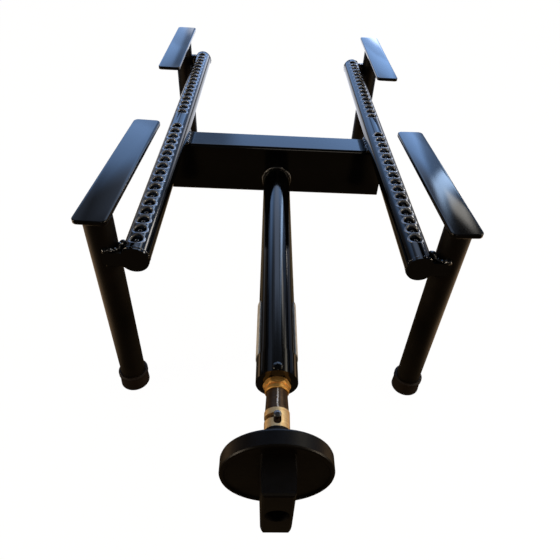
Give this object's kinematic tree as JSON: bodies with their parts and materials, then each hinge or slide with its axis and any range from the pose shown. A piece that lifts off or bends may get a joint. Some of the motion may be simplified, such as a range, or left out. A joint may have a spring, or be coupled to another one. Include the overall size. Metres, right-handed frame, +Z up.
{
  "type": "propane burner stand",
  "caption": "Low kettle stand with two ported burner tubes on a cross manifold, four capped legs with flat rests, and a mixing tube with an air shutter and a turn knob.",
  "frame": {"origin": "middle of the bounding box at floor level", "axes": "+X to the right as seen by a user at the knob, +Y away from the knob along the burner tubes, +Z up"},
  "size_m": [0.3396, 0.7436, 0.2315],
  "materials": {
    "black_paint": "semi-gloss black paint",
    "rubber": "dull black rubber",
    "brass": "turned brass",
    "satin_brass": "satin pale brass",
    "dark_bronze": "dark brown cast bronze",
    "steel": "bright zinc-plated steel",
    "zinc_sheet": "dull zinc-plated sheet",
    "black_plastic": "matt black moulded plastic"
  },
  "bodies": {
    "stand": {"burner_tube_left": "black_paint", "burner_tube_right": "black_paint", "gas_tube_left": "black_paint", "gas_tube_right": "black_paint", "tube_cap_front_left": "black_paint", "tube_cap_front_right": "black_paint", "tube_cap_rear_left": "black_paint", "tube_cap_rear_right": "black_paint", "manifold_box": "black_paint", "manifold_end_left": "black_paint", "manifold_end_right": "black_paint", "gas_riser_left": "black_paint", "gas_riser_right": "black_paint", "leg_front_left": "black_paint", "leg_front_right": "black_paint", "leg_rear_left": "black_paint", "leg_rear_right": "black_paint", "foot_cap_front_left": "rubber", "foot_cap_front_right": "rubber", "foot_cap_rear_left": "rubber", "foot_cap_rear_right": "rubber", "kettle_rest_front_left": "black_paint", "kettle_rest_front_right": "black_paint", "kettle_rest_rear_left": "black_paint", "kettle_rest_rear_right": "black_paint", "leg_welds": "black_paint", "rest_welds": "black_paint", "manifold_welds": "black_paint", "mixing_tube_weld": "black_paint", "mixing_tube": "black_paint", "mouth_sleeve": "black_paint", "tube_plug": "black_paint", "plug_screw": "black_paint", "jet_holder": "brass", "gas_jet": "brass", "valve_body": "dark_bronze", "gland_nut": "brass", "gas_inlet": "brass", "guide_screw": "steel", "stem_seal": "rubber"},
    "knob": {"control_knob": "black_plastic", "slotted_collar": "satin_brass", "valve_plug": "brass", "knob_screw": "steel"},
    "air_shutter": {"air_shutter": "zinc_sheet"}
  },
  "joints": [
    {"name": "knob_turn", "type": "hinge", "parent": "stand", "child": "knob", "pos_m": [0, -0.3102, 0.1306], "axis": [0, 1, 0], "range_deg": [0, 90]},
    {"name": "air_shutter_slide", "type": "slide", "parent": "stand", "child": "air_shutter", "axis": [0, 1, 0], "range_m": [0, 0.056]}
  ]
}
